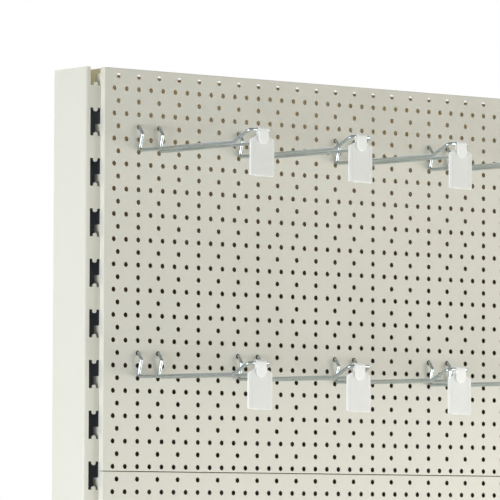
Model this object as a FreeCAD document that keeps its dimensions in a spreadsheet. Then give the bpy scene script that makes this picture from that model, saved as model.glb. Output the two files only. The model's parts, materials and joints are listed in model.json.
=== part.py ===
import FreeCAD, Part
import math
import os

import Sketcher
from FreeCAD import Placement, Rotation, Vector

# Retail wall bay: two slotted tube uprights carry perforated steel pans in front and plain
# pans behind, with a base of two legs, a kick plate and a deck shelf.  Looped wire hooks hang
# in the perforation, and each carries a flip-up ticket holder on its crossbar.
#
# Row frame, in millimetres: origin at the centre of the footprint on the floor, +Z up,
# the shopping side faces -Y, +X to the right.

os.makedirs("parts", exist_ok=True)
doc = FreeCAD.newDocument("RetailBay")

# ---------------------------------------------------------------- driving dimensions
DRIVING = {
    # pans
    "pan_width": 609.4, "pan_height": 399.4, "pan_pitch": 400, "pan_count": 3, "sheet": 0.9,
    "standoff": 7, "flange_play": 0.3, "return_depth": 15, "return_inset": 8, "flange_bevel": 3,
    "tab_rise": 12.2, "tab_reach": 9, "tab_bevel": 4, "fold_round": 0.8,
    # perforation: a square lattice and a finer one half a row lower
    "peg_radius": 2.55, "peg_pitch": 25, "peg_columns": 24, "peg_rows": 16, "peg_top": 7.5,
    "fine_pitch": 15, "fine_columns": 40,
    # uprights
    "bay_height": 1350, "tube_width": 25, "tube_depth": 56, "tube_wall": 2, "tube_round": 3,
    "flange_offset": 5.6, "foot_gap": 8.3,
    "slot_width": 13.2, "slot_rise": 27.8, "slot_pitch": 50, "slot_count": 26, "slot_top": 4.3,
    "tongue_width": 4.5, "tongue_depth": 3.6, "end_plate": 4,
    # base
    "base_reach": 370, "leg_bottom": 22, "leg_top": 148, "leg_wall": 2, "leg_lip": 14,
    "deck_sheet": 1.5, "deck_lip": 30, "deck_round": 1.2, "kick_bottom": 14, "kick_return": 18,
    "kick_sheet": 1, "base_play": 0.3,
    "leg_tab_rise": 18, "leg_tab_width": 3,
    # levelling feet, the rear pair set back behind the tube's axis so that the bay doesn't lean back
    "stem_radius": 5, "stem_play": 0.05, "stem_length": 46, "pad_radius": 14, "pad_rise": 8,
    "foot_inset": 30, "foot_setback": 14,
    # tie bars and their bolts
    "bar_rise": 40, "bar_depth": 20, "bar_wall": 2, "low_bar": 60, "high_bar": 720,
    "bolt_radius": 3, "bolt_play": 0.25, "bolt_spacing": 22, "bolt_head": 5.5, "bolt_head_rise": 3.5,
    # hooks
    "wire_radius": 1.75, "prong_spread": 25, "hook_pitch": 125, "hook_count": 5,
    "tip_back": 4.5, "tip_rise": 13, "lip_out": 1, "knee_out": 6.2, "knee_drop": 6.3,
    "heel_out": 1.3, "arm_drop": 23.3,
    "arm_reach": 156, "arm_sag": 1.5, "bar_reach": 181.5, "bar_drop": 14.2,
    "high_hook_row": 2, "low_hook_row": 11,
    # ticket holders
    "clip_play": 0.08, "clip_wall": 1.1, "clip_width": 12, "ticket_width": 29,
    "ticket_top": 6.5, "ticket_rise": 38, "leaf": 0.55, "leaf_gap": 0.6, "leaf_shift": 0.3, "seal_width": 3,
    "shoulder_run": 7, "shoulder_drop": 5.5, "tongue_drop": 14, "notch": 2,
}
# dimensions that follow from the driving ones
DERIVED = {
    "fine_margin": "(pan_width - fine_pitch * (fine_columns - 1)) / 2",
    "peg_margin": "(pan_width - peg_pitch * (peg_columns - 1)) / 2",
    "upright_x": "pan_width / 2 + flange_offset",
    "upright_y": "(base_reach - tube_depth / 2 - standoff) / 2",
    "pan_face": "tube_depth / 2 + standoff",
    "tube_rise": "bay_height - foot_gap",
    "base_width": "2 * upright_x + tube_width",
    "leg_reach": "base_reach - deck_sheet - 2 * base_play - kick_sheet",
    "clip_inner": "wire_radius + clip_play",
}
sheet = doc.addObject("Spreadsheet::Sheet", "Sizes")
for row, (alias, value) in enumerate([*DRIVING.items(), *DERIVED.items()], start=1):
    sheet.set(f"A{row}", alias)
    sheet.set(f"B{row}", str(value) if alias in DRIVING else f"={value}")
    sheet.setAlias(f"B{row}", alias)
doc.recompute()

S = {alias: float(getattr(sheet, alias)) for alias in [*DRIVING, *DERIVED]}


def on_sheet(text):
    """Turn an expression of bare aliases into one that reads the sheet."""
    words = []
    word = ""
    for letter in str(text) + " ":
        if letter.isalnum() or letter == "_":
            word += letter
            continue
        words.append(f"Sizes.{word}" if word in S else word)
        words.append(letter)
        word = ""
    return "".join(words).strip()


# ---------------------------------------------------------------- sketch and feature helpers
def new_body(name):
    """A PartDesign body whose label names its node."""
    body = doc.addObject("PartDesign::Body", name)
    body.Label = name
    return body


def sketch_on(body, name, plane, offset=None):
    """A sketch on one of the body's origin planes, moved along its normal by an expression."""
    sketch = body.newObject("Sketcher::SketchObject", name)
    support = next(item for item in body.Origin.OriginFeatures if item.Role == plane)
    sketch.AttachmentSupport = [(support, "")]
    sketch.MapMode = "FlatFace"
    if offset is not None:
        sketch.setExpression("AttachmentOffset.Base.z", on_sheet(offset))
    return sketch


def place_vertex(sketch, edge, point, x, y):
    """Bind one sketch point to two expressions, or to an axis where the expression is 0."""
    for kind, axis, text in (("DistanceX", -2, x), ("DistanceY", -1, y)):
        if str(text) == "0":
            sketch.addConstraint(Sketcher.Constraint("PointOnObject", edge, point, axis))
            continue
        value = float(sketch.evalExpression(on_sheet(text)))
        index = sketch.addConstraint(Sketcher.Constraint(kind, -1, 1, edge, point, value))
        sketch.setExpression(f"Constraints[{index}]", on_sheet(text))


def outline(sketch, points, arcs=None):
    """A closed outline whose corners are pairs of expressions.

    Its edges are lines, apart from those that arcs maps from the number of their first corner
    to the height of their centre and the height of their middle, both on the vertical axis.
    """
    def at(pair):
        return Vector(*(float(sketch.evalExpression(on_sheet(text))) for text in pair), 0)

    arcs = arcs or {}
    count = len(points)
    edges = []
    for index, pair in enumerate(points):
        start, end = at(pair), at(points[(index + 1) % count])
        if index not in arcs:
            edges.append((sketch.addGeometry(Part.LineSegment(start, end)), 1, 2))
            continue
        centre, middle = arcs[index]
        edge = sketch.addGeometry(Part.Arc(start, at(("0", middle)), end))
        forward = sketch.getPoint(edge, 1).distanceToPoint(start) < 1e-6
        edges.append((edge, 1, 2) if forward else (edge, 2, 1))
        value = float(sketch.evalExpression(on_sheet(centre)))
        bound = sketch.addConstraint(Sketcher.Constraint("DistanceY", -1, 1, edge, 3, value))
        sketch.setExpression(f"Constraints[{bound}]", on_sheet(centre))
    for index, pair in enumerate(points):
        before, _begin, finish = edges[index - 1]
        edge, begin, _finish = edges[index]
        sketch.addConstraint(Sketcher.Constraint("Coincident", before, finish, edge, begin))
        place_vertex(sketch, edge, begin, *pair)


def rectangle(sketch, left, bottom, right, top):
    """A closed rectangle between four expressions."""
    outline(sketch, [(left, bottom), (right, bottom), (right, top), (left, top)])


def circle(sketch, x, y, radius):
    """A circle whose centre and radius are expressions."""
    values = [float(sketch.evalExpression(on_sheet(text))) for text in (x, y, radius)]
    index = sketch.addGeometry(Part.Circle(Vector(values[0], values[1], 0), Vector(0, 0, 1), values[2]))
    place_vertex(sketch, index, 3, x, y)
    bound = sketch.addConstraint(Sketcher.Constraint("Radius", index, values[2]))
    sketch.setExpression(f"Constraints[{bound}]", on_sheet(radius))


def pad(body, name, sketch, length, reverse=False, symmetric=False):
    """Pad a sketch by an expression."""
    feature = body.newObject("PartDesign::Pad", name)
    feature.Profile = sketch
    feature.setExpression("Length", on_sheet(length))
    feature.Reversed = reverse
    feature.SideType = "Symmetric" if symmetric else "One side"
    return feature


def pocket_through(body, name, sketch):
    """Cut a sketch through the whole body, both ways from its plane."""
    feature = body.newObject("PartDesign::Pocket", name)
    feature.Profile = sketch
    feature.Type = "ThroughAll"
    feature.SideType = "Symmetric"
    return feature


def pocket(body, name, sketch, length, reverse=False, symmetric=False):
    """Cut a sketch into the body by an expression."""
    feature = body.newObject("PartDesign::Pocket", name)
    feature.Profile = sketch
    feature.setExpression("Length", on_sheet(length))
    feature.Reversed = reverse
    feature.SideType = "Symmetric" if symmetric else "One side"
    return feature


def mirror(body, name, originals, plane):
    """Mirror features across one of the body's origin planes."""
    feature = body.newObject("PartDesign::Mirrored", name)
    support = next(item for item in body.Origin.OriginFeatures if item.Role == plane)
    feature.Originals = originals
    feature.MirrorPlane = (support, [""])
    body.Tip = feature
    return feature


def lattice(body, name, original, sketch, across=None, down=None):
    """Repeat a feature along its sketch's axes; each direction is (pitch, count)."""
    feature = body.newObject("PartDesign::LinearPattern", name)
    feature.Originals = [original]
    pitch, count = across or down
    feature.Direction = (sketch, ["H_Axis" if across else "V_Axis"])
    feature.Reversed = across is None
    feature.Mode = "Extent"
    feature.setExpression("Length", on_sheet(f"{pitch} * ({count} - 1)"))
    feature.setExpression("Occurrences", on_sheet(count))
    if across and down:
        pitch, count = down
        feature.Direction2 = (sketch, ["V_Axis"])
        feature.Reversed2 = True
        feature.Mode2 = "Extent"
        feature.setExpression("Length2", on_sheet(f"{pitch} * ({count} - 1)"))
        feature.setExpression("Occurrences2", on_sheet(count))
    body.Tip = feature
    return feature


def round_edges(body, name, feature, radius, chosen):
    """Fillet the edges of a feature whose bounding box passes a test."""
    doc.recompute()
    edges = [f"Edge{number}" for number, edge in enumerate(feature.Shape.Edges, start=1)
             if chosen(edge.BoundBox)]
    rounded = body.newObject("PartDesign::Fillet", name)
    rounded.Base = (feature, edges)
    rounded.setExpression("Radius", on_sheet(radius))
    body.Tip = rounded
    return rounded


def place(node, x="0", y="0", z="0", turn=0):
    """Put a node at three expressions, turned about Z by whole degrees."""
    node.Placement = Placement(Vector(), Rotation(Vector(0, 0, 1), turn))
    for axis, text in (("x", x), ("y", y), ("z", z)):
        node.setExpression(f".Placement.Base.{axis}", on_sheet(text))


def twin(name, body, **where):
    """Another piece of the same shape, as a body based on the first one."""
    copy = new_body(name)
    base = doc.addObject("PartDesign::FeatureBase", f"{name}_base")
    base.BaseFeature = body
    copy.Group = [base]
    copy.Tip = base
    place(copy, **where)
    nodes.append(copy)
    twins.append(copy)
    return copy


nodes = []
twins = []


def first(body, **where):
    """Place the first piece of a kind and list it as a node."""
    place(body, **where)
    nodes.append(body)
    return body


# ---------------------------------------------------------------- uprights
def slot_outline(sketch):
    """A tall slot with a short tongue hanging in from the middle of its top and bottom."""
    half, tip = "slot_width / 2", "tongue_width / 2"
    middle = "tube_rise - slot_top"
    top, bottom = f"{middle} + slot_rise / 2", f"{middle} - slot_rise / 2"
    low, high = f"{bottom} + tongue_depth - {tip}", f"{top} - tongue_depth + {tip}"
    outline(sketch, [
        (f"-({half})", bottom), (f"-({tip})", bottom), (f"-({tip})", low), (tip, low),
        (tip, bottom), (half, bottom), (half, top), (tip, top), (tip, high), (f"-({tip})", high),
        (f"-({tip})", top), (f"-({half})", top)],
        arcs={2: (low, f"{low} + {tip}"), 8: (high, f"{high} - {tip}")})


def build_upright(name):
    """Rectangular tube with a foot plate, slotted front and back, origin at its lower end."""
    body = new_body(name)
    wall = sketch_on(body, "TubeSection", "XY_Plane")
    rectangle(wall, "-tube_width / 2", "-tube_depth / 2", "tube_width / 2", "tube_depth / 2")
    tube = pad(body, "Tube", wall, "tube_rise")
    round_edges(body, "TubeCorners", tube, "tube_round", lambda box: box.ZLength > S["tube_depth"])
    hollow = sketch_on(body, "TubeBore", "XY_Plane", "end_plate")
    inner_x, inner_y = "(tube_width / 2 - tube_wall)", "(tube_depth / 2 - tube_wall)"
    rectangle(hollow, f"-{inner_x}", f"-{inner_y}", inner_x, inner_y)
    pocket(body, "Bore", hollow, "tube_rise", reverse=True)
    stem = sketch_on(body, "StemHole", "XY_Plane")
    circle(stem, "0", "foot_setback", "stem_radius + stem_play")
    pocket(body, "StemBore", stem, "end_plate", reverse=True)
    slot = sketch_on(body, "SlotShape", "XZ_Plane")
    slot_outline(slot)
    first_slot = pocket_through(body, "Slot", slot)
    lattice(body, "Slots", first_slot, slot, down=("slot_pitch", "slot_count"))
    bolts = sketch_on(body, "BoltHoles", "YZ_Plane")
    for bar in ("low_bar", "high_bar"):
        for side in ("-", ""):
            circle(bolts, "0", f"{bar} + bar_rise / 2 {side or '+'} bolt_spacing / 2 - foot_gap",
                   "bolt_radius + bolt_play")
    body.Tip = pocket_through(body, "BoltBores", bolts)
    return body


upright = first(build_upright("upright_left"), x="-upright_x", y="upright_y", z="foot_gap")
twin("upright_right", upright, x="upright_x", y="upright_y", z="foot_gap")


# ---------------------------------------------------------------- pans
def build_pan(name, perforated):
    """Folded pan: face on the XZ plane, flanges and hook tabs towards +Y, origin low centre."""
    body = new_body(name)
    face = sketch_on(body, "FaceOutline", "XZ_Plane")
    rectangle(face, "-pan_width / 2", "0", "pan_width / 2", "pan_height")
    plate = pad(body, "Face", face, "sheet", reverse=True)
    round_edges(body, "Folds", plate, "fold_round", lambda box: box.YMax < S["sheet"] / 2)
    for label, level in (("Low", "0"), ("High", "pan_height - sheet")):
        fold = sketch_on(body, f"{label}ReturnOutline", "XY_Plane", level)
        wide, narrow = "(pan_width / 2)", "(pan_width / 2 - return_inset)"
        ledge = "standoff - flange_play"
        outline(fold, [(f"-{wide}", "sheet"), (wide, "sheet"), (wide, ledge), (narrow, ledge),
                       (narrow, "return_depth"), (f"-{narrow}", "return_depth"),
                       (f"-{narrow}", ledge), (f"-{wide}", ledge)])
        pad(body, f"{label}Return", fold, "sheet")
    ledge, reach = "standoff - flange_play", "standoff + tab_reach"
    low = "pan_height - slot_top - slot_rise / 2"
    high = f"{low} + tab_rise"
    for label, offset in (("Left", "-pan_width / 2"), ("Right", "pan_width / 2 - sheet")):
        side = sketch_on(body, f"{label}FlangeOutline", "YZ_Plane", offset)
        outline(side, [("sheet", "0"), (ledge, "0"), (ledge, "pan_height - flange_bevel"),
                       (f"{ledge} - flange_bevel", "pan_height"), ("sheet", "pan_height")])
        pad(body, f"{label}Flange", side, "sheet")
        tab = sketch_on(body, f"{label}TabOutline", "YZ_Plane", offset)
        outline(tab, [("sheet", low), (f"{reach} - tab_bevel", low),
                      (reach, f"{low} + tab_bevel"), (reach, high), ("sheet", high)])
        first_tab = pad(body, f"{label}Tab", tab, "sheet")
        lattice(body, f"{label}Tabs", first_tab, tab, down=("slot_pitch", "pan_pitch / slot_pitch"))
    if not perforated:
        return body
    for label, margin, pitch, columns, drop in (
            ("Peg", "peg_margin", "peg_pitch", "peg_columns", "peg_top"),
            ("Fine", "fine_margin", "fine_pitch", "fine_columns", "peg_top + peg_pitch / 2")):
        hole = sketch_on(body, f"{label}HoleShape", "XZ_Plane")
        circle(hole, f"{margin} - pan_width / 2", f"pan_height - ({drop})", "peg_radius")
        cut = pocket(body, f"{label}Hole", hole, "2 * sheet", symmetric=True)
        lattice(body, f"{label}Holes", cut, hole, across=(pitch, columns),
                down=("peg_pitch", "peg_rows"))
    return body


LEVELS = ["top", "middle", "bottom"]


def pan_level(index):
    """Height of the lower edge of the pan in one storey, counted from the top."""
    return f"bay_height - {index} * pan_pitch - pan_height"


front_pan = first(build_pan("peg_panel_top", True), y="upright_y - pan_face", z=pan_level(0))
rear_pan = first(build_pan("rear_panel_top", False), y="upright_y + pan_face", z=pan_level(0), turn=180)
for index, level in enumerate(LEVELS[1:], start=1):
    twin(f"peg_panel_{level}", front_pan, y="upright_y - pan_face", z=pan_level(index))
    twin(f"rear_panel_{level}", rear_pan, y="upright_y + pan_face", z=pan_level(index), turn=180)


# ---------------------------------------------------------------- tie bars and bolts
def build_tie_bar(name):
    """Channel with welded end plates, open to the back, origin at its low centre."""
    body = new_body(name)
    length = "(upright_x - tube_width / 2)"
    section = sketch_on(body, "ChannelSection", "YZ_Plane")
    deep = "bar_depth / 2"
    outline(section, [
        (f"-{deep}", "0"), (deep, "0"), (deep, "bar_wall"), (f"bar_wall - {deep}", "bar_wall"),
        (f"bar_wall - {deep}", "bar_rise - bar_wall"), (deep, "bar_rise - bar_wall"),
        (deep, "bar_rise"), (f"-{deep}", "bar_rise")])
    pad(body, "Channel", section, f"2 * {length}", symmetric=True)
    plate = sketch_on(body, "EndPlateOutline", "YZ_Plane", f"-{length}")
    rectangle(plate, f"-{deep}", "0", deep, "bar_rise")
    end = pad(body, "EndPlate", plate, "bar_wall")
    mirror(body, "FarEndPlate", [end], "YZ_Plane")
    holes = sketch_on(body, "BarBoltHoles", "YZ_Plane")
    for sign in ("-", "+"):
        circle(holes, "0", f"bar_rise / 2 {sign} bolt_spacing / 2", "bolt_radius + bolt_play")
    body.Tip = pocket_through(body, "BarBoltBores", holes)
    return body


low_bar = first(build_tie_bar("tie_bar_low"), y="upright_y", z="low_bar")
twin("tie_bar_high", low_bar, y="upright_y", z="high_bar")


def bolt(name, side, height):
    """Hexagon bolt through an upright, its head outside and its nut inside the tie bar."""
    sign = "-" if side < 0 else ""
    outer, inner = f"{sign}(upright_x + tube_width / 2)", "tube_width + bar_wall"
    outward = Rotation(Vector(0, 1, 0), 90 * side)
    shank = doc.addObject("Part::Cylinder", f"{name}_shank")
    shank.setExpression("Radius", "Sizes.bolt_radius")
    shank.setExpression("Height", on_sheet(f"{inner} + 2 * bolt_head_rise"))
    pieces = [shank]
    for part, start in (("head", "0"), ("nut", f"{inner} + bolt_head_rise")):
        hexagon = doc.addObject("Part::Prism", f"{name}_{part}")
        hexagon.Polygon = 6
        hexagon.setExpression("Circumradius", "Sizes.bolt_head")
        hexagon.setExpression("Height", "Sizes.bolt_head_rise")
        if part == "nut":
            hexagon.setExpression(".Placement.Base.z", on_sheet(start))
        pieces.append(hexagon)
    whole = doc.addObject("Part::MultiFuse", name)
    whole.Shapes = pieces
    whole.Placement = Placement(Vector(), Rotation(Vector(0, 1, 0), -90 * side))
    shift = "bolt_head_rise" if side > 0 else "-bolt_head_rise"
    for axis, text in (("x", f"{outer} + {shift}"), ("y", "upright_y"), ("z", height)):
        whole.setExpression(f".Placement.Base.{axis}", on_sheet(text))
    return whole


def build_bolts(name, bar):
    """The four bolts that hold one tie bar, as one group."""
    heights = [f"{bar} + bar_rise / 2 {sign} bolt_spacing / 2" for sign in ("-", "+")]
    group = doc.addObject("Part::Compound", name)
    group.Label = name
    group.Links = [bolt(f"{name}_{number}", side, height) for number, (side, height) in
                   enumerate((side, height) for side in (-1, 1) for height in heights)]
    nodes.append(group)


build_bolts("tie_bolts_low", "low_bar")
build_bolts("tie_bolts_high", "high_bar")


# ---------------------------------------------------------------- base
def build_leg(name, outer):
    """Folded leg, its web on the outer side (-1 or 1), origin at the tube's axis on the floor."""
    body = new_body(name)
    front, back = "-leg_reach", "-(tube_depth / 2)"
    side = sketch_on(body, "LegOutline", "YZ_Plane", "-tube_width / 2")
    rectangle(side, front, "leg_bottom", back, "leg_top")
    pad(body, "LegBlank", side, "tube_width")
    web = "leg_wall - tube_width / 2" if outer < 0 else "tube_width / 2 - leg_wall"
    inner = sketch_on(body, "LegInside", "YZ_Plane", web)
    rectangle(inner, f"{front} + leg_wall", "leg_bottom + leg_wall", f"{back} - leg_wall",
              "leg_top - leg_wall")
    pocket(body, "LegHollow", inner, "tube_width", reverse=outer < 0)
    tab = sketch_on(body, "LegTabOutline", "YZ_Plane")
    first_slot = "bay_height - slot_top - (slot_count - 1) * slot_pitch"
    for level in (first_slot, f"{first_slot} + slot_pitch"):
        rectangle(tab, back, f"{level} - leg_tab_rise / 2", f"{back} + tab_reach - tube_wall",
                  f"{level} + leg_tab_rise / 2")
    pad(body, "LegTabs", tab, "leg_tab_width", symmetric=True)
    stem = sketch_on(body, "LegStemHole", "XY_Plane", "leg_bottom")
    circle(stem, "0", f"{front} + foot_inset", "stem_radius + stem_play")
    body.Tip = pocket(body, "LegStemBore", stem, "leg_wall", reverse=True)
    return body


first(build_leg("base_leg_left", -1), x="-upright_x", y="upright_y")
first(build_leg("base_leg_right", 1), x="upright_x", y="upright_y")


def build_kick_plate(name):
    """Plinth plate with turned ends, origin on the floor under the uprights' line."""
    body = new_body(name)
    face = "(base_reach - deck_sheet - base_play)"
    top = "leg_top + deck_sheet - deck_lip - base_play"
    half = "(base_width / 2 + kick_sheet + base_play)"
    plan = sketch_on(body, "KickPlan", "XY_Plane", "kick_bottom")
    outline(plan, [(f"-{half}", f"-{face}"), (half, f"-{face}"), (half, f"kick_return - {face}"),
                   (f"{half} - kick_sheet", f"kick_return - {face}"),
                   (f"{half} - kick_sheet", f"kick_sheet - {face}"),
                   (f"kick_sheet - {half}", f"kick_sheet - {face}"),
                   (f"kick_sheet - {half}", f"kick_return - {face}"),
                   (f"-{half}", f"kick_return - {face}")])
    pad(body, "Kick", plan, f"{top} - kick_bottom")
    return body


def build_deck(name):
    """Base shelf: a plate with a lip down its front and ends, origin under the uprights' line."""
    body = new_body(name)
    half, front, back = "(base_width / 2 + deck_sheet + base_play)", "-base_reach", \
        "-(tube_depth / 2 + base_play)"
    plate = sketch_on(body, "DeckPlan", "XY_Plane", "leg_top")
    rectangle(plate, f"-{half}", front, half, back)
    pad(body, "Deck", plate, "deck_sheet")
    lip = sketch_on(body, "LipPlan", "XY_Plane", "leg_top")
    outline(lip, [(f"-{half}", front), (half, front), (half, back), (f"{half} - deck_sheet", back),
                  (f"{half} - deck_sheet", f"{front} + deck_sheet"),
                  (f"deck_sheet - {half}", f"{front} + deck_sheet"),
                  (f"deck_sheet - {half}", back), (f"-{half}", back)])
    folded = pad(body, "Lip", lip, "deck_lip - deck_sheet", reverse=True)
    level = S["leg_top"] + S["deck_sheet"]
    round_edges(body, "DeckFolds", folded, "deck_round", lambda box: box.ZMin > level - 1e-4
                and not (box.YMin > -S["tube_depth"] and box.XLength > S["tube_depth"]))
    return body


first(build_kick_plate("kick_plate"), y="upright_y")
first(build_deck("base_shelf"), y="upright_y")


# ---------------------------------------------------------------- levelling feet
def build_foot(name):
    """Screw foot turned about Z: a flanged pad on the floor and a stem, origin on the floor."""
    body = new_body(name)
    profile = sketch_on(body, "FootProfile", "XZ_Plane")
    outline(profile, [
        ("0", "0"), ("pad_radius - 1", "0"), ("pad_radius", "1"), ("pad_radius", "pad_rise - 3"),
        ("pad_radius - 3", "pad_rise"), ("stem_radius", "pad_rise"),
        ("stem_radius", "pad_rise + stem_length - 1"), ("stem_radius - 1", "pad_rise + stem_length"),
        ("0", "pad_rise + stem_length")])
    turned = body.newObject("PartDesign::Revolution", "Turned")
    turned.Profile = profile
    turned.ReferenceAxis = (profile, ["V_Axis"])
    turned.Angle = 360
    return body


def build_lock_nuts(name):
    """The four hexagon lock nuts, one round each stem, as one group."""
    rings = []
    for number, (x, y, level) in enumerate(FOOT_PLACES.values()):
        hexagon = doc.addObject("Part::Prism", f"lock_hexagon_{number}")
        hexagon.Polygon = 6
        hexagon.setExpression("Circumradius", on_sheet("stem_radius + 4"))
        hexagon.setExpression("Height", "Sizes.stem_radius")
        core = doc.addObject("Part::Cylinder", f"lock_core_{number}")
        core.setExpression("Radius", on_sheet("stem_radius + stem_play"))
        core.setExpression("Height", "Sizes.stem_radius")
        ring = doc.addObject("Part::Cut", f"lock_nut_{number}")
        ring.Base = hexagon
        ring.Tool = core
        for axis, text in (("x", x), ("y", y), ("z", level)):
            ring.setExpression(f".Placement.Base.{axis}", on_sheet(text))
        rings.append(ring)
    group = doc.addObject("Part::Compound", name)
    group.Label = name
    group.Links = rings
    nodes.append(group)


LEG_STEM = "upright_y - leg_reach + foot_inset"
TUBE_STEM = "upright_y + foot_setback"
FOOT_PLACES = {
    "foot_rear_left": ("-upright_x", TUBE_STEM, "foot_gap + end_plate"),
    "foot_rear_right": ("upright_x", TUBE_STEM, "foot_gap + end_plate"),
    "foot_front_left": ("-upright_x", LEG_STEM, "leg_bottom + leg_wall"),
    "foot_front_right": ("upright_x", LEG_STEM, "leg_bottom + leg_wall"),
}
foot = None
for label, (foot_x, foot_y, _level) in FOOT_PLACES.items():
    if foot is None:
        foot = first(build_foot(label), x=foot_x, y=foot_y)
    else:
        twin(label, foot, x=foot_x, y=foot_y)
build_lock_nuts("foot_lock_nuts")


# ---------------------------------------------------------------- hooks
def rounded_path(corners, radii):
    """Straight runs joined by tangent arcs, one radius for each inner corner."""
    edges = []
    start = corners[0]
    for before, corner, after, radius in zip(corners, corners[1:], corners[2:], radii):
        arriving = (corner - before).normalize()
        leaving = (after - corner).normalize()
        turn = arriving.getAngle(leaving)
        run = radius * math.tan(turn / 2)
        entry, leave = corner - arriving * run, corner + leaving * run
        inward = (leaving - arriving).normalize()
        middle = corner + inward * (radius / math.cos(turn / 2) - radius)
        edges += [Part.LineSegment(start, entry).toShape(), Part.Arc(entry, middle, leave).toShape()]
        start = leave
    edges.append(Part.LineSegment(start, corners[-1]).toShape())
    return Part.Wire(edges)


def build_hook(name):
    """Looped wire hook, origin midway between its two holes on the pan's face."""
    side = [(S["tip_back"], S["tip_rise"]), (S["tip_back"], 0), (-S["lip_out"], 0),
            (-S["knee_out"], -S["knee_drop"]), (-S["heel_out"], -S["arm_drop"]),
            (-S["arm_reach"], -S["arm_drop"] - S["arm_sag"]),
            (-S["bar_reach"], -S["bar_drop"])]
    half = S["prong_spread"] / 2
    left = [Vector(-half, y, z) for y, z in side]
    right = [Vector(half, y, z) for y, z in reversed(side)]
    bends = [3.5, 2.2, 2.5, 2.5, 5, 4]
    path = doc.addObject("Part::Feature", "HookPath")
    path.Shape = rounded_path(left + right, bends + bends[::-1])
    body = new_body(name)
    section = sketch_on(body, "WireSection", "XY_Plane")
    section.AttachmentOffset = Placement(left[0], Rotation())
    radius_index = section.addGeometry(Part.Circle(Vector(), Vector(0, 0, 1), S["wire_radius"]))
    section.addConstraint(Sketcher.Constraint("Coincident", radius_index, 3, -1, 1))
    bound = section.addConstraint(Sketcher.Constraint("Radius", radius_index, S["wire_radius"]))
    section.setExpression(f"Constraints[{bound}]", "Sizes.wire_radius")
    wire = body.newObject("PartDesign::AdditivePipe", "Wire")
    wire.Profile = section
    wire.Spine = (path, [f"Edge{number + 1}" for number in range(len(path.Shape.Edges))])
    doc.recompute()
    area = math.pi * S["wire_radius"] ** 2
    print("hook wire volume ratio", round(body.Shape.Volume / (area * path.Shape.Length), 5))
    return body


# ---------------------------------------------------------------- ticket holders
def build_ticket(name):
    """Clip, tongue and two-leaf pocket, origin on the axis of the crossbar it hangs from."""
    body = new_body(name)
    outer, inner = S["clip_inner"] + S["clip_wall"], S["clip_inner"]
    mouth_low, mouth_high = math.radians(-62), math.radians(38)
    ring = sketch_on(body, "ClipSection", "YZ_Plane")
    centre, normal = Vector(), Vector(0, 0, 1)
    for radius in (outer, inner):
        ring.addGeometry(Part.ArcOfCircle(Part.Circle(centre, normal, radius),
                                          mouth_high, mouth_low + 2 * math.pi))
    for angle in (mouth_high, mouth_low):
        aim = Vector(math.cos(angle), math.sin(angle), 0)
        ring.addGeometry(Part.LineSegment(aim * inner, aim * outer))
    for arc, text in ((0, "clip_inner + clip_wall"), (1, "clip_inner")):
        ring.addConstraint(Sketcher.Constraint("Coincident", arc, 3, -1, 1))
        bound = ring.addConstraint(Sketcher.Constraint("Radius", arc, S["clip_inner"]
                                                       + (S["clip_wall"] if arc == 0 else 0)))
        ring.setExpression(f"Constraints[{bound}]", on_sheet(text))
    for line, end in ((2, 1), (3, 2)):
        ring.addConstraint(Sketcher.Constraint("Coincident", line, 1, 1, end))
        ring.addConstraint(Sketcher.Constraint("Coincident", line, 2, 0, end))
    pad(body, "Clip", ring, "clip_width", symmetric=True)

    back, front = "(leaf_gap / 2 + leaf_shift)", "(leaf_gap / 2 - leaf_shift)"
    half, neck = "ticket_width / 2", "clip_width / 2"
    low, high = "-(ticket_top + ticket_rise)", "-ticket_top"

    def leaf(label, level, top):
        """One leaf of the pocket: chamfered shoulders above, a shallow notch below."""
        plan = sketch_on(body, f"{label}Outline", "XZ_Plane", level)
        outline(plan, [
            (f"-({half})", low), (f"-({neck})", low), (f"-({neck}) + notch", f"{low} + notch"),
            (f"{neck} - notch", f"{low} + notch"), (neck, low), (half, low),
            (half, f"{high} - shoulder_drop"), (f"{half} - shoulder_run", top),
            (f"shoulder_run - ({half})", top), (f"-({half})", f"{high} - shoulder_drop")])
        pad(body, label, plan, "leaf")

    leaf("BackLeaf", f"-({back} + leaf)", high)
    leaf("FrontLeaf", front, f"{high} - 1")
    seal = sketch_on(body, "SealOutline", "XZ_Plane", f"-{back}")
    rectangle(seal, f"-({half})", f"{low} + 0.5", f"seal_width - ({half})",
              f"{high} - shoulder_drop - 1")
    strip = pad(body, "Seal", seal, "leaf_gap")
    mirror(body, "FarSeal", [strip], "YZ_Plane")
    neck_web = sketch_on(body, "NeckOutline", "XZ_Plane", f"-({back} + leaf)")
    rectangle(neck_web, f"-({neck})", f"{high} - 1", neck, "-(clip_inner + clip_wall / 2)")
    pad(body, "Neck", neck_web, "leaf + leaf_gap / 2")
    tongue = sketch_on(body, "TongueOutline", "XZ_Plane", "clip_inner + 0.1")
    outline(tongue, [
        (f"2 - ({neck})", "-tongue_drop"), (f"{neck} - 2", "-tongue_drop"),
        (neck, "2 - tongue_drop"), (neck, "-0.4"), (f"-({neck})", "-0.4"),
        (f"-({neck})", "2 - tongue_drop")])
    body.Tip = pad(body, "Tongue", tongue, "clip_wall - 0.2")
    return body


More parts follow.
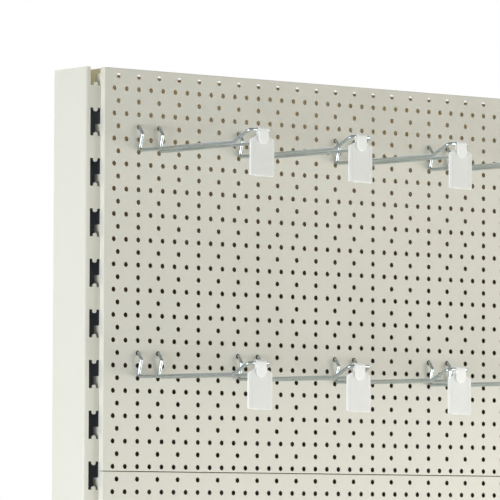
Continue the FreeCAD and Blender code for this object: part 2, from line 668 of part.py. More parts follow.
HOOK_Y = "upright_y - pan_face"
HOOK_ROWS = {"upper": "high_hook_row", "lower": "low_hook_row"}
hook = ticket = None
for row_name, row_number in HOOK_ROWS.items():
    hole_z = f"bay_height - peg_top - {row_number} * peg_pitch"
    for number in range(int(S["hook_count"])):
        where_x = f"({number} - (hook_count - 1) / 2) * hook_pitch"
        hook_place = {"x": where_x, "y": HOOK_Y, "z": hole_z}
        bar_place = {"x": where_x, "y": f"{HOOK_Y} - bar_reach", "z": f"{hole_z} - bar_drop"}
        if hook is None:
            hook = first(build_hook(f"hook_{row_name}_{number + 1}"), **hook_place)
            ticket = first(build_ticket(f"ticket_{row_name}_{number + 1}"), **bar_place)
            continue
        twin(f"hook_{row_name}_{number + 1}", hook, **hook_place)
        twin(f"ticket_{row_name}_{number + 1}", ticket, **bar_place)

# ---------------------------------------------------------------- check and write
doc.recompute()
failed = [item.Name for item in doc.Objects if {"Invalid", "Error"} & set(item.State)]
if failed:
    raise RuntimeError(f"failed objects: {failed}")
for node in nodes:
    shape = node.Shape
    # a twin holds the very faces of the piece it is based on, so each kind is checked once
    if shape.isNull() or shape.Volume <= 0 or not (node in twins or shape.isValid()):
        raise RuntimeError(f"{node.Label} has no valid shape")
    shape.exportStep(f"parts/{node.Label}.step")
print(f"{len(nodes)} nodes written")
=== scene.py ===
import json
import logging
import math
from dataclasses import dataclass
from enum import Enum
from typing import Any, Iterable, Mapping, Sequence

import bmesh
import bpy
from mathutils import Matrix, Vector


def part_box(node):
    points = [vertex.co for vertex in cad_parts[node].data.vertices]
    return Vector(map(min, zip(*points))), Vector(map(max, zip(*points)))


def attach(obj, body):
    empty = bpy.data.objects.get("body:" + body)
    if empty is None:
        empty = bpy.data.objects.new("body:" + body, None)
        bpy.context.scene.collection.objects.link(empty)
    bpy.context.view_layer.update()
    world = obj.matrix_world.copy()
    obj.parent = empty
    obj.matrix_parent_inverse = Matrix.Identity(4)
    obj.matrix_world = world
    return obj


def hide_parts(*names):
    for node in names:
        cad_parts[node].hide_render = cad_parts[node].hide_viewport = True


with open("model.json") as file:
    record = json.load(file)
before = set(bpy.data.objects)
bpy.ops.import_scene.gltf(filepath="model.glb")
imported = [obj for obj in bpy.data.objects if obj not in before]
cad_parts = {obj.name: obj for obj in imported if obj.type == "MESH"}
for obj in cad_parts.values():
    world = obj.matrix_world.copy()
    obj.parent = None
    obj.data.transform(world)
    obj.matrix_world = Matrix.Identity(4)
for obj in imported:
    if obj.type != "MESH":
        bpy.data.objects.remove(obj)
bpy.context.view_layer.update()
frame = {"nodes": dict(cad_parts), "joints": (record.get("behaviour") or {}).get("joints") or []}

# A retail wall bay: slotted uprights, perforated steel pans, a base with a deck shelf, and
# looped wire hooks that each carry a flip-up ticket holder.  Metres, +Z up, and the shopping
# side faces -Y.

log = logging.getLogger("wall_bay")
MM = 0.001
WIRE_CHAMFER, WIRE_TIP = 0.35, 0.62  # length of a wire's chamfer and size of its end, in radii
SHARPEST_MITRE = 0.4  # smallest cosine that a corner's inset is divided by
Colour = tuple[float, float, float]
Point = tuple[float, float]


class Slot(Enum):
    """Material slots named in the record."""

    POWDER_COAT = "powder_coat"
    INNER_COAT = "inner_coat"
    ZINC = "zinc"
    FOOT_ZINC = "foot_zinc"
    WIRE = "wire"
    TICKET = "ticket_plastic"


# ---------------------------------------------------------------- shader graphs
class Signal:
    """A node's output socket, on which Python arithmetic adds Math nodes."""

    def __init__(self, graph: "Graph", socket: bpy.types.NodeSocket | None) -> None:
        """Keep the socket and the graph that owns it."""
        self.graph = graph
        self.socket = socket

    def _math(self, operation: str, *terms: "Signal | float") -> "Signal":
        """Add one Math node.

        Args:
            operation: the Math node's operation.
            terms: its inputs, in order.

        Returns:
            The node's result.
        """
        settings = {"operation": operation}
        return self.graph.node("ShaderNodeMath", settings, dict(enumerate(terms)))

    def __add__(self, other: "Signal | float") -> "Signal":
        """Self plus other."""
        return self._math("ADD", self, other)

    __radd__ = __add__

    def __sub__(self, other: "Signal | float") -> "Signal":
        """Self minus other."""
        return self._math("SUBTRACT", self, other)

    def __rsub__(self, other: float) -> "Signal":
        """Other minus self."""
        return self._math("SUBTRACT", other, self)

    def __mul__(self, other: "Signal | float") -> "Signal":
        """Self times other."""
        return self._math("MULTIPLY", self, other)

    __rmul__ = __mul__

    def __abs__(self) -> "Signal":
        """Size of self without its sign."""
        return self._math("ABSOLUTE", self)

    def rising(self, low: float, high: float) -> "Signal":
        """A smooth step.

        Args:
            low: value at which the result is 0.
            high: value at which the result is 1; below low, the step falls instead.

        Returns:
            The step, from 0 to 1.
        """
        settings = {"interpolation_type": "SMOOTHSTEP"}
        return self.graph.node("ShaderNodeMapRange", settings, {0: self, 1: low, 2: high})


class Graph:
    """The node tree of a material or of the world."""

    def __init__(self, owner: bpy.types.Material | bpy.types.World) -> None:
        """Empty the owner's tree."""
        self.owner = owner
        owner.use_nodes = True
        self.tree = owner.node_tree
        self.tree.nodes.clear()

    def node(self, kind: str, settings: Mapping[str, Any] | None = None,
             inputs: Mapping[Any, Any] | None = None, output: int | str = 0) -> Signal:
        """Add any node.

        Args:
            kind: the node's type name.
            settings: its properties, set first.
            inputs: a value or Signal for each socket, by name or number.
            output: which output to return.

        Returns:
            The chosen output.
        """
        made = self.tree.nodes.new(kind)
        for key, value in (settings or {}).items():
            setattr(made, key, value)
        for key, value in (inputs or {}).items():
            target = made.inputs[key]
            if isinstance(value, Signal):
                self.tree.links.new(value.socket, target)
            elif target.type == "RGBA":
                target.default_value = (*value, 1.0)
            else:
                target.default_value = value
        return Signal(self, made.outputs[output] if made.outputs else None)

    def place(self) -> Signal:
        """Position in the piece's own frame."""
        return self.node("ShaderNodeTexCoord", output="Object")

    def axis(self, vector: Signal, index: int) -> Signal:
        """One component of a vector."""
        return self.node("ShaderNodeSeparateXYZ", None, {0: vector}, index)

    def stretched(self, vector: Signal, scale: Colour) -> Signal:
        """A vector times a constant one."""
        return self.node("ShaderNodeVectorMath", {"operation": "MULTIPLY"}, {0: vector, 1: scale})

    def shifted(self, vector: Signal, other: Signal) -> Signal:
        """The sum of two vectors."""
        return self.node("ShaderNodeVectorMath", {"operation": "ADD"}, {0: vector, 1: other})

    def noise(self, vector: Signal, scale: float, detail: float = 2.0) -> Signal:
        """Fractal noise from 0 to 1, whose scale is in cycles a metre."""
        return self.node("ShaderNodeTexNoise", None,
                         {"Vector": vector, "Scale": scale, "Detail": detail})

    def blend(self, factor: Signal, low: "Signal | Colour", high: "Signal | Colour") -> Signal:
        """A colour between two, by a factor."""
        return self.node("ShaderNodeMix", {"data_type": "RGBA"}, {0: factor, 6: low, 7: high}, 2)

    def bump(self, height: Signal, depth: float) -> Signal:
        """A normal bent by a height.

        Args:
            height: height, mostly from 0 to 1.
            depth: metres that a height of 1 stands for.

        Returns:
            The bent normal.
        """
        return self.node("ShaderNodeBump", None, {"Distance": depth, "Height": height})

    def close(self, inputs: Mapping[str, Any]) -> bpy.types.Material:
        """Close the tree with a Principled shader, and return the material."""
        shader = self.node("ShaderNodeBsdfPrincipled", None, inputs)
        self.node("ShaderNodeOutputMaterial", None, {"Surface": shader})
        return self.owner


# ---------------------------------------------------------------- finishes
@dataclass(frozen=True)
class Cavity:
    """A hollow that is the same on both sides of the middle plane, by its middle and half size."""

    middle_x: float
    half_x: float
    middle_y: float
    half_y: float

    @classmethod
    def within(cls, low: Vector, high: Vector, wall: float) -> "Cavity":
        """The hollow inside a box.

        Args:
            low: the box's lowest corner.
            high: its highest corner.
            wall: how thick the walls round the hollow are, less a little play.

        Returns:
            The hollow.
        """
        middle, half = (low + high) / 2, (high - low) / 2
        return cls(abs(middle.x), half.x - wall, middle.y, half.y - wall)

    def mask(self, graph: Graph, place: Signal) -> Signal:
        """1 on walls that face the hollow, and 0 outside it."""
        soft = 0.0002
        across = abs(abs(graph.axis(place, 0)) - self.middle_x)
        deep = abs(graph.axis(place, 1) - self.middle_y)
        return (across.rising(self.half_x + soft, self.half_x)
                * deep.rising(self.half_y + soft, self.half_y))


@dataclass(frozen=True)
class HollowShade:
    """Painted shade and painted light on the walls of a hollow: dark low down, lighter up the bay
    towards its open top.
    """

    low: Colour
    high: Colour
    levels: Point

    def colour(self, graph: Graph, place: Signal) -> Signal:
        """The painted shade's colour at each height, lighter towards the hollow's open top."""
        return graph.blend(graph.axis(place, 2).rising(*self.levels), self.low, self.high)


@dataclass(frozen=True)
class PowderCoat:
    """Baked powder paint on sheet steel: fine orange peel and faint clouding, with painted shade
    inside its hollows.
    """

    name: str
    light: Colour
    deep: Colour
    cavity: Cavity
    hollow_shade: HollowShade
    roughness: float = 0.42
    cloud_scale: float = 2.6
    grain_scale: float = 240.0
    rub_scale: float = 6.0
    rub_stretch: Colour = (3.0, 3.0, 22.0)
    rub_strength: float = 0.55
    peel_scale: float = 620.0
    peel_depth: float = 0.00006
    scuff_height: float = 0.16
    scuff: Colour = (0.42, 0.40, 0.35)

    def material(self) -> bpy.types.Material:
        """Build the paint."""
        graph = Graph(bpy.data.materials.new(self.name))
        place = graph.place()
        cloud = graph.noise(place, self.cloud_scale, 4.0).rising(0.3, 0.7)
        grain = graph.noise(place, self.grain_scale, 3.0)
        paint = graph.blend(cloud * 0.75 + grain * 0.25, self.deep, self.light)
        low = graph.axis(place, 2).rising(self.scuff_height, 0.0)
        strokes = graph.stretched(place, self.rub_stretch)
        rubbed = graph.noise(strokes, self.rub_scale, 6.0).rising(0.52, 0.74)
        worn = low * rubbed * self.rub_strength
        # walls that face a hollow get painted shade instead of the coat: dark low down, painted
        # light near the open top
        in_shaded_hollow = self.cavity.mask(graph, place)
        outside = graph.blend(worn, paint, self.scuff)
        colour = graph.blend(in_shaded_hollow, outside, self.hollow_shade.colour(graph, place))
        peel = graph.noise(place, self.peel_scale, 1.0)
        return graph.close({
            "Base Color": colour,
            "Roughness": grain * 0.10 + (self.roughness - 0.05) + worn * 0.25,
            "Specular IOR Level": 0.45,
            "Coat Weight": 0.12,
            "Coat Roughness": 0.22,
            "Normal": graph.bump(peel, self.peel_depth),
        })


@dataclass(frozen=True)
class Metal:
    """Plated steel, with streaks along one axis and small blooms in the plating."""

    name: str
    light: Colour
    deep: Colour
    stretch: Colour
    streak_scale: float
    roughness: float
    bloom_scale: float
    depth: float

    def material(self) -> bpy.types.Material:
        """Build the metal."""
        graph = Graph(bpy.data.materials.new(self.name))
        place = graph.place()
        streak = graph.noise(graph.stretched(place, self.stretch), self.streak_scale, 3.0)
        bloom = graph.node("ShaderNodeTexVoronoi", {"feature": "F1"},
                           {"Vector": place, "Scale": self.bloom_scale}, "Color")
        spangle = graph.axis(bloom, 0)
        tone = streak.rising(0.34, 0.66) * 0.7 + spangle * 0.3
        return graph.close({
            "Base Color": graph.blend(tone, self.deep, self.light),
            "Metallic": 1.0,
            "Roughness": streak * 0.16 + spangle * 0.06 + (self.roughness - 0.11),
            "Normal": graph.bump(streak, self.depth),
        })


@dataclass(frozen=True)
class FrostedPlastic:
    """Milky moulded film whose welded side strips, tongue and clip are whiter, with a faint painted
    glow.
    """

    name: str
    centre: Colour = (0.930, 0.945, 0.925)
    welded: Colour = (0.985, 0.995, 0.980)
    strip_inner: float = 0.0112
    strip_outer: float = 0.0124
    clip_level: float = -0.0065
    clip_fade: float = 0.001
    tongue_near: float = -0.0016
    tongue_far: float = -0.0009
    # a faint painted glow that lightens the plastic, though it is no lamp
    glow: Colour = (0.80, 0.83, 0.80)
    painted_glow_strength: float = 0.055
    opacity: float = 0.86

    def material(self) -> bpy.types.Material:
        """Build the plastic, for a piece whose origin is on its crossbar's axis."""
        graph = Graph(bpy.data.materials.new(self.name))
        place = graph.place()
        across, depth, height = (graph.axis(place, index) for index in range(3))
        own = graph.shifted(place, graph.node("ShaderNodeObjectInfo", output="Location"))
        strip = abs(across).rising(self.strip_inner, self.strip_outer)
        upper = height.rising(self.clip_level - self.clip_fade, self.clip_level + self.clip_fade)
        tongue = depth.rising(self.tongue_far, self.tongue_near)
        solid = 1.0 - (1.0 - strip) * (1.0 - upper * 0.8) * (1.0 - tongue * 0.9)
        cloud = graph.noise(own, 95.0, 3.0)
        frost = graph.noise(own, 1500.0, 2.0)
        lines = graph.noise(graph.stretched(own, (1.0, 1.0, 0.06)), 700.0, 2.0)
        base = graph.blend(cloud.rising(0.3, 0.7), self.centre,
                           tuple(0.965 * part for part in self.centre))
        return graph.close({
            "Base Color": graph.blend(solid, base, self.welded),
            "Roughness": frost * 0.18 + 0.30,
            "Alpha": solid * 0.08 + cloud * 0.06 + self.opacity,
            "Specular IOR Level": 0.5,
            "Emission Color": self.glow,
            "Emission Strength": self.painted_glow_strength,
            "Subsurface Weight": 0.25,
            "Subsurface Radius": (0.004, 0.004, 0.004),
            "Subsurface Scale": 1.0,
            "Normal": graph.bump(frost * 0.4 + lines * 0.6, 0.00005),
        })


@dataclass(frozen=True)
class Concrete:
    """Pale sealed floor with faint mottling."""

    name: str = "studio_floor"
    light: Colour = (0.80, 0.80, 0.79)
    deep: Colour = (0.75, 0.75, 0.74)

    def material(self) -> bpy.types.Material:
        """Build the floor."""
        graph = Graph(bpy.data.materials.new(self.name))
        place = graph.place()
        mottle = graph.noise(place, 3.0, 5.0)
        fine = graph.noise(place, 90.0, 3.0)
        return graph.close({
            "Base Color": graph.blend(mottle.rising(0.3, 0.7), self.deep, self.light),
            "Roughness": fine * 0.15 + 0.55,
            "Normal": graph.bump(fine, 0.0002),
        })


# ---------------------------------------------------------------- mesh tools
class Shaper:
    """Builds one mesh from swept, turned and extruded solids."""

    def __init__(self, name: str) -> None:
        """Start an empty mesh of that name."""
        self.name = name
        self.mesh = bmesh.new()

    def tube(self, route: Sequence[Vector], radius: float, sides: int) -> None:
        """Sweep a round wire with chamfered ends.

        Args:
            route: points along the wire's axis.
            radius: the wire's radius.
            sides: faces round the wire.
        """
        first, last = route[1] - route[0], route[-1] - route[-2]
        chamfer = WIRE_CHAMFER * radius
        stations = [(route[0], WIRE_TIP), (route[0] + first.normalized() * chamfer, 1.0)]
        stations += [(point, 1.0) for point in route[1:-1]]
        stations += [(route[-1] - last.normalized() * chamfer, 1.0), (route[-1], WIRE_TIP)]
        normal = Vector((1.0, 0.0, 0.0))
        rings = []
        for index, (point, share) in enumerate(stations):
            before = stations[max(index - 1, 0)][0]
            after = stations[min(index + 1, len(stations) - 1)][0]
            along = (after - before).normalized()
            normal = (normal - along * normal.dot(along)).normalized()
            side = along.cross(normal)
            ring = []
            for step in range(sides):
                turn = 2 * math.pi * step / sides
                offset = normal * math.cos(turn) + side * math.sin(turn)
                ring.append(self.mesh.verts.new(point + offset * radius * share))
            rings.append(ring)
        for near, far in zip(rings, rings[1:]):
            for step in range(sides):
                other = (step + 1) % sides
                self.mesh.faces.new((near[step], near[other], far[other], far[step]))
        self.mesh.faces.new(rings[0][::-1])
        self.mesh.faces.new(rings[-1])

    def slab(self, outline: Sequence[Point], front: float, back: float, bevel: float) -> None:
        """Extrude an outline along Y and soften its two rims.

        Args:
            outline: (x, z) corners, counter-clockwise seen from the front.
            front: Y of the front face.
            back: Y of the back face.
            bevel: inset of each rim.
        """
        depths = [(front, bevel), (front + bevel, 0.0), (back - bevel, 0.0), (back, bevel)]
        rings = []
        for depth, inset in depths:
            points = inset_outline(outline, inset)
            rings.append([self.mesh.verts.new((x, depth, z)) for x, z in points])
        self._skin(rings)

    def bar(self, section: Sequence[Point], half: float, bevel: float) -> None:
        """Extrude a section along X and soften its two ends.

        Args:
            section: (y, z) corners, clockwise seen from +X.
            half: half of the length.
            bevel: inset of each end.
        """
        levels = [(-half, bevel), (bevel - half, 0.0), (half - bevel, 0.0), (half, bevel)]
        rings = []
        for level, inset in levels:
            points = inset_outline(section, inset)
            rings.append([self.mesh.verts.new((level, y, z)) for y, z in points])
        self._skin(rings)

    def _skin(self, rings: Sequence[Sequence[bmesh.types.BMVert]]) -> None:
        """Join rings of equal length, and close both ends."""
        count = len(rings[0])
        for near, far in zip(rings, rings[1:]):
            for step in range(count):
                other = (step + 1) % count
                self.mesh.faces.new((near[step], near[other], far[other], far[step]))
        self.mesh.faces.new(rings[0][::-1])
        self.mesh.faces.new(rings[-1])

    def build(self, place: Vector, material: bpy.types.Material,
              crease: float = 35.0) -> bpy.types.Object:
        """Turn the mesh into an object.

        Args:
            place: where the object's origin goes.
            material: its finish.
            crease: angle above which an edge stays sharp, in degrees.

        Returns:
            The linked object.
        """
        bmesh.ops.recalc_face_normals(self.mesh, faces=self.mesh.faces[:])
        for face in self.mesh.faces:
            face.smooth = True
        limit = math.radians(crease)
        for edge in self.mesh.edges:
            edge.smooth = len(edge.link_faces) == 2 and edge.calc_face_angle(0.0) < limit
        data = bpy.data.meshes.new(self.name)
        self.mesh.to_mesh(data)
        self.mesh.free()
        data.materials.append(material)
        made = bpy.data.objects.new(self.name, data)
        bpy.context.scene.collection.objects.link(made)
        made.location = place
        return made


def inset_outline(outline: Sequence[Point], inset: float) -> list[Point]:
    """Move every corner of a closed outline inwards.

    Args:
        outline: corners in order, either way round.
        inset: distance from each old side to its new one.

    Returns:
        The moved corners.
    """
    if not inset:
        return list(outline)
    count = len(outline)
    area = sum(outline[i - 1][0] * outline[i][1] - outline[i][0] * outline[i - 1][1]
               for i in range(count))
    way = 1.0 if area > 0 else -1.0
    moved = []
    for index, corner in enumerate(outline):
        here = Vector(corner)
        arriving = (here - Vector(outline[index - 1])).normalized()
        leaving = (Vector(outline[(index + 1) % count]) - here).normalized()
        normals = [Vector((-edge.y, edge.x)) * way for edge in (arriving, leaving)]
        middle = (normals[0] + normals[1]).normalized()
        reach = inset / max(middle.dot(normals[0]), SHARPEST_MITRE)
        moved.append(tuple(here + middle * reach))
    return moved


def rounded_corners(corners: Sequence[Vector], radii: Sequence[float], steps: int,
                    closed: bool) -> list[Vector]:
    """Replace each corner by points on a tangent arc.

    Args:
        corners: the sharp corners, in a plane or in space.
        radii: one radius for each corner; 0 keeps it sharp.
        steps: pieces in each arc.
        closed: whether the last corner joins the first.

    Returns:
        The points, in order.
    """
    count = len(corners)
    points = []
    for index, (corner, radius) in enumerate(zip(corners, radii)):
        at_end = not closed and index in (0, count - 1)
        if at_end or radius == 0:
            points.append(corner.copy())
            continue
        arriving = (corner - corners[index - 1]).normalized()
        leaving = (corners[(index + 1) % count] - corner).normalized()
        turn = arriving.angle(leaving)
        run = radius * math.tan(turn / 2)
        middle = corner + (leaving - arriving).normalized() * (radius / math.cos(turn / 2))
        start, finish = corner - arriving * run - middle, corner + leaving * run - middle
        for step in range(steps + 1):
            share = step / steps
            weights = (math.sin((1 - share) * turn), math.sin(share * turn))
            points.append(middle + (start * weights[0] + finish * weights[1]) / math.sin(turn))
    return points


def flat_outline(corners: Iterable[tuple[float, float, float]], steps: int = 6) -> list[Point]:
    """A closed outline in millimetres, given as (x, z, corner radius), in metres."""
    listed = [(Vector((x, z)) * MM, radius * MM) for x, z, radius in corners]
    points = rounded_corners([at for at, _ in listed], [radius for _, radius in listed],
                             steps, True)
    return [(point.x, point.y) for point in points]


# ---------------------------------------------------------------- pieces
@dataclass
class SteelBay:
    """Uprights, pans, tie bars, base and feet: CAD pieces that get their finishes here."""

    coated: tuple[str, ...] = ("upright_", "base_leg_", "kick_plate", "base_shelf")
    pans: tuple[str, ...] = ("peg_panel_", "rear_panel_")
    plated: tuple[str, ...] = ("tie_bar_", "tie_bolts_", "foot_lock_nuts")
    feet: tuple[str, ...] = ("foot_rear_", "foot_front_")

    def dress(self, nodes: Mapping[str, bpy.types.Object],
              finishes: Mapping[Slot, bpy.types.Material]) -> int:
        """Give each CAD piece of the bay its finish.

        Args:
            nodes: the CAD pieces by name.
            finishes: the material of each slot.

        Returns:
            How many pieces were dressed.
        """
        groups = ((self.coated, Slot.POWDER_COAT), (self.pans, Slot.INNER_COAT),
                  (self.plated, Slot.ZINC), (self.feet, Slot.FOOT_ZINC))
        dressed = 0
        for starts, slot in groups:
            for name, node in nodes.items():
                if not name.startswith(starts):
                    continue
                for holder in node.material_slots:
                    holder.material = finishes[slot]
                dressed += 1
        return dressed


@dataclass
class WireHook:
    """A hook bent from one wire: two prongs, two arms and a raised crossbar."""

    radius: float = 1.75
    spread: float = 25.0
    side: tuple[Point, ...] = ((4.5, 13.0), (4.5, 0.0), (-1.0, 0.0), (-6.2, -6.3),
                               (-1.3, -23.3), (-156.0, -24.8), (-181.5, -14.2))
    bends: tuple[float, ...] = (3.5, 2.2, 2.5, 2.5, 5.0, 4.0)
    faces_round: int = 20
    bend_steps: int = 9

    def build(self, node: str, body: str, place: Vector,
              material: bpy.types.Material) -> bpy.types.Object:
        """Sweep the wire and put it in place of its CAD piece.

        Args:
            node: the CAD piece that it stands for.
            body: the body that it moves with.
            place: midway between its two holes, on the face of the pan.
            material: its finish.

        Returns:
            The hook.
        """
        half = self.spread / 2
        near = [Vector((-half, y, z)) * MM for y, z in self.side]
        far = [Vector((half, y, z)) * MM for y, z in reversed(self.side)]
        bends = [0.0, *self.bends, *reversed(self.bends), 0.0]
        route = rounded_corners(near + far, [bend * MM for bend in bends], self.bend_steps, False)
        shaper = Shaper(f"wire_{node}")
        shaper.tube(route, self.radius * MM, self.faces_round)
        made = shaper.build(place, material, 50.0)
        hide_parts(node)
        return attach(made, body)


@dataclass
class TicketHolder:
    """A clip round the crossbar, a tongue in front of it, and a two-leaf pocket below."""

    clip_inner: float = 1.83
    clip_wall: float = 1.1
    clip_width: float = 12.0
    clip_steps: int = 28
    clip_bevel: float = 0.18
    mouth: Point = (38.0, -62.0)
    width: float = 29.0
    top: float = 6.0
    rise: float = 39.2
    leaf: float = 0.55
    front: float = 0.0
    back: float = 0.6
    leaf_bevel: float = 0.14
    shoulder_run: float = 7.0
    shoulder_drop: float = 3.4
    seal: float = 3.0
    seal_proud: float = 0.12
    tongue_drop: float = 14.0
    tongue_inset: float = 0.1
    neck_top: float = -2.4

    def build(self, node: str, body: str, place: Vector,
              material: bpy.types.Material) -> bpy.types.Object:
        """Mould the holder and put it in place of its CAD piece.

        Args:
            node: the CAD piece that it stands for.
            body: the body that it moves with.
            place: a point on the crossbar's axis, midway along it.
            material: its finish.

        Returns:
            The holder.
        """
        shaper = Shaper(f"holder_{node}")
        self._clip(shaper)
        self._tongue(shaper)
        self._pocket(shaper)
        made = shaper.build(place, material)
        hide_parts(node)
        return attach(made, body)

    def _clip(self, shaper: Shaper) -> None:
        """The C-shaped clip, open at the back, with softened ends."""
        inner, outer = self.clip_inner, self.clip_inner + self.clip_wall
        start, finish = math.radians(self.mouth[0]), math.radians(self.mouth[1] + 360)
        turn = (finish - start) / self.clip_steps
        angles = [start + turn * step for step in range(self.clip_steps + 1)]
        section = [(outer * math.cos(a) * MM, outer * math.sin(a) * MM) for a in angles]
        section += [(inner * math.cos(a) * MM, inner * math.sin(a) * MM) for a in reversed(angles)]
        shaper.bar(section, self.clip_width / 2 * MM, self.clip_bevel * MM)

    def _tongue(self, shaper: Shaper) -> None:
        """The round-ended tongue that hangs in front of the pocket."""
        half, top = self.clip_width / 2, -0.4
        curve, bevel = half * 0.98, 0.2
        near = -(self.clip_inner + self.clip_wall) + self.tongue_inset
        deep = -self.clip_inner - self.tongue_inset
        outline = flat_outline([(-half, -self.tongue_drop, curve), (half, -self.tongue_drop, curve),
                                (half, top, 0.0), (-half, top, 0.0)], 12)
        shaper.slab(outline, near * MM, deep * MM, bevel * MM)

    def _pocket(self, shaper: Shaper) -> None:
        """Two leaves welded along their sides, and the web that joins them to the clip."""
        half, neck = self.width / 2, self.clip_width / 2
        high, low = -self.top, -(self.top + self.rise)
        near, deep = self.front, self.back + self.leaf
        left = (-half, high - self.shoulder_drop, 2.5)
        right = (half, high - self.shoulder_drop, 2.5)
        crown = [(half - self.shoulder_run, high, 3.0), (self.shoulder_run - half, high, 3.0)]
        # the lower edges are cut unevenly, and the two leaves differ
        front = [(-half, low + 0.7, 1.2), (-7.4, low + 1.3, 0.6), (0.5, low + 0.9, 0.0),
                 (2.5, low + 0.35, 0.5), (half, low + 0.6, 1.6)]
        back = [(-half, low + 0.9, 1.2), (-8.6, low + 0.9, 0.4), (-8.0, low + 0.1, 0.4),
                (-2.2, low, 0.0), (2.0, low + 0.5, 1.5), (6.0, low, 0.6), (half, low + 0.15, 1.6)]
        shaper.slab(flat_outline([*front, right, *crown, left]), (near - self.leaf) * MM,
                    near * MM, self.leaf_bevel * MM)
        shaper.slab(flat_outline([*back, right, *crown, left]), self.back * MM, deep * MM,
                    self.leaf_bevel * MM)
        for side in (-1, 1):
            inner, outer = sorted((side * (half - self.seal_proud), side * (half - self.seal)))
            foot, head = low + 1.2, high - 4.8
            strip = flat_outline([(inner, foot, 0.3), (outer, foot, 0.3),
                                  (outer, head, 0.3), (inner, head, 0.3)])
            shaper.slab(strip, (near - self.leaf - self.seal_proud) * MM,
                        (deep + self.seal_proud) * MM, 0.1 * MM)
        web = flat_outline([(-neck, high - 2.0, 0.0), (neck, high - 2.0, 0.0),
                            (neck, self.neck_top, 0.0), (-neck, self.neck_top, 0.0)])
        shaper.slab(web, near * MM, deep * MM, 0.12 * MM)


# ---------------------------------------------------------------- studio
@dataclass(frozen=True)
class SoftBox:
    """A square soft light, aimed at a point."""

    name: str
    place: Colour
    aim: Colour
    size: float
    power: float
    tint: Colour = (1.0, 1.0, 1.0)

    def build(self) -> None:
        """Hang the light."""
        data = bpy.data.lights.new(self.name, "AREA")
        data.shape = "SQUARE"
        data.size = self.size
        data.energy = self.power
        data.color = self.tint
        made = bpy.data.objects.new(self.name, data)
        made.location = self.place
        made.visible_camera = False
        away = Vector(self.place) - Vector(self.aim)
        made.rotation_euler = away.to_track_quat("Z", "Y").to_euler()
        bpy.context.scene.collection.objects.link(made)


@dataclass(frozen=True)
class Studio:
    """Floor, sky, lights and camera."""

    camera_place: Colour = (-2.8797, -3.4668, 0.8937)
    yaw: float = 37.45
    pitch: float = 3.559
    roll: float = 0.216
    lens: float = 323.05
    floor_size: float = 16.0
    sky_lift: float = 0.25
    sky_edge: float = 0.80
    sky_front: Colour = (0.345, 0.335, 0.305)
    boxes: tuple[SoftBox, ...] = (
        SoftBox("left_box", (-2.5, -0.4, 0.5), (-0.3, 0.1, 0.9), 1.0, 40.0, (0.965, 1.0, 1.07)),
        SoftBox("front_box", (1.15, -1.1, 0.38), (0.0, 0.1, 0.85), 1.25, 21.5,
                (1.0, 0.99, 0.95)),
    )

    def build(self) -> None:
        """Make everything that isn't part of the bay."""
        self._floor()
        self._sky()
        self._camera()
        for box in self.boxes:
            box.build()
        bpy.context.scene.view_settings.view_transform = "Standard"

    def _floor(self) -> None:
        """A pale floor under the bay."""
        half = self.floor_size / 2
        mesh = bmesh.new()
        corners = ((-half, -half), (half, -half), (half, half), (-half, half))
        mesh.faces.new([mesh.verts.new((x, y, 0.0)) for x, y in corners])
        data = bpy.data.meshes.new("studio_floor")
        mesh.to_mesh(data)
        mesh.free()
        data.materials.append(Concrete().material())
        floor = bpy.data.objects.new("studio_floor", data)
        bpy.context.scene.collection.objects.link(floor)

    def _sky(self) -> None:
        """A white cove behind the bay that dims towards the front."""
        world = bpy.data.worlds.new("studio_sky")
        bpy.context.scene.world = world
        graph = Graph(world)
        yaw = math.radians(self.yaw)
        ahead = graph.node("ShaderNodeVectorMath", {"operation": "DOT_PRODUCT"},
                           {0: graph.node("ShaderNodeTexCoord", output="Generated"),
                            1: (math.sin(yaw), math.cos(yaw), self.sky_lift)}, "Value")
        share = graph.node("ShaderNodeMapRange", None, {0: ahead, 1: 0.0, 2: self.sky_edge})
        glow = graph.node("ShaderNodeBackground", None,
                          {"Color": graph.blend(share, self.sky_front, (1.0, 1.0, 1.0))})
        graph.node("ShaderNodeOutputWorld", None, {"Surface": glow})

    def _camera(self) -> None:
        """A long lens from the front left, a little below the middle."""
        yaw, pitch, roll = (math.radians(a) for a in (self.yaw, self.pitch, self.roll))
        ahead = Vector((math.sin(yaw) * math.cos(pitch), math.cos(yaw) * math.cos(pitch),
                        math.sin(pitch)))
        right = Vector((math.cos(yaw), -math.sin(yaw), 0.0))
        above = right.cross(ahead)
        level = right * math.cos(roll) + above * math.sin(roll)
        upright = above * math.cos(roll) - right * math.sin(roll)
        data = bpy.data.cameras.new("studio_camera")
        data.lens = self.lens
        data.sensor_width = 36.0
        data.clip_end = 60.0
        made = bpy.data.objects.new("studio_camera", data)
        turned = Matrix((level, upright, -ahead)).transposed()
        made.matrix_world = Matrix.Translation(self.camera_place) @ turned.to_4x4()
        bpy.context.scene.collection.objects.link(made)
        bpy.context.scene.camera = made


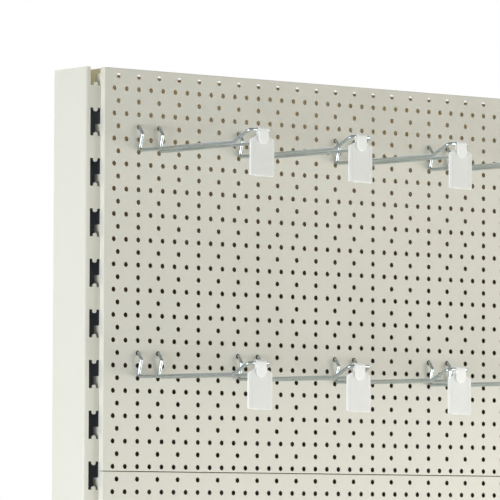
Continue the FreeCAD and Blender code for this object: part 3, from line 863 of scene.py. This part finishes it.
# ---------------------------------------------------------------- the bay
WARM_WHITE, WARM_WHITE_DEEP = (0.735, 0.730, 0.650), (0.705, 0.700, 0.620)
TUBES = Cavity.within(*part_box("upright_right"), 1.9 * MM)
BETWEEN_PANS = Cavity.within(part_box("peg_panel_top")[0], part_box("rear_panel_top")[1], 0.8 * MM)
# painted shade inside the uprights and between the pans: dark low in each hollow, painted light
# near its open top
TUBE_HOLLOW_SHADE = HollowShade((0.15, 0.19, 0.23), (0.92, 0.88, 0.62), (1.312, 1.328))
PAN_HOLLOW_SHADE = HollowShade((0.22, 0.14, 0.085), (0.92, 0.80, 0.56), (1.10, 1.34))
FINISHES = {
    Slot.POWDER_COAT: PowderCoat("warm_white_powder_coat", WARM_WHITE, WARM_WHITE_DEEP,
                                 TUBES, TUBE_HOLLOW_SHADE),
    Slot.INNER_COAT: PowderCoat("pan_powder_coat", WARM_WHITE, WARM_WHITE_DEEP,
                                BETWEEN_PANS, PAN_HOLLOW_SHADE),
    Slot.ZINC: Metal(
        "galvanised_steel", light=(0.66, 0.67, 0.67), deep=(0.50, 0.51, 0.52),
        stretch=(1.0, 3.0, 3.0), streak_scale=40.0, roughness=0.46, bloom_scale=160.0,
        depth=0.00004),
    Slot.FOOT_ZINC: Metal(
        "turned_zinc", light=(0.62, 0.62, 0.60), deep=(0.44, 0.44, 0.43),
        stretch=(1.0, 1.0, 14.0), streak_scale=60.0, roughness=0.42, bloom_scale=420.0,
        depth=0.00005),
    Slot.WIRE: Metal(
        "bright_zinc_wire", light=(0.66, 0.72, 0.73), deep=(0.40, 0.46, 0.48),
        stretch=(60.0, 1.0, 60.0), streak_scale=14.0, roughness=0.22, bloom_scale=900.0,
        depth=0.00001),
    Slot.TICKET: FrostedPlastic("frosted_plastic"),
}


# How far each holder has been slid along its crossbar, in millimetres.
SLID = {"ticket_upper_1": 2.4, "ticket_upper_2": -0.7, "ticket_upper_3": 2.4,
        "ticket_upper_4": 0.8, "ticket_upper_5": -1.2, "ticket_lower_1": 1.0,
        "ticket_lower_2": -2.4, "ticket_lower_3": 1.5, "ticket_lower_4": -0.5,
        "ticket_lower_5": 1.8}


def joint_places(joints: Iterable[Mapping[str, Any]], ending: str) -> dict[str, Vector]:
    """Where each joint of one kind is.

    Args:
        joints: the record's joints.
        ending: the end of the joints' names.

    Returns:
        The joints' places, by the body that each one moves.
    """
    return {joint["child"]: Vector(joint["pos_m"]) for joint in joints
            if joint["name"].endswith(ending)}


def main() -> None:
    """Dress the steel bay, build the hooks and ticket holders, and set up the studio."""
    logging.basicConfig(level=logging.INFO, format="%(name)s: %(message)s")
    materials = {slot: finish.material() for slot, finish in FINISHES.items()}
    log.info("steel bay: %d pieces dressed", SteelBay().dress(frame["nodes"], materials))
    hook, holder = WireHook(), TicketHolder()
    for body, place in joint_places(frame["joints"], "_tilt").items():
        made = hook.build(body, body, place, materials[Slot.WIRE])
        log.info("hook: %s", made.name)
    for body, place in joint_places(frame["joints"], "_flip").items():
        slid = Vector((SLID[body] * MM, 0.0, 0.0))
        made = holder.build(body, body, place + slid, materials[Slot.TICKET])
        log.info("ticket holder: %s", made.name)
    Studio().build()


if __name__ == "__main__":
    main()
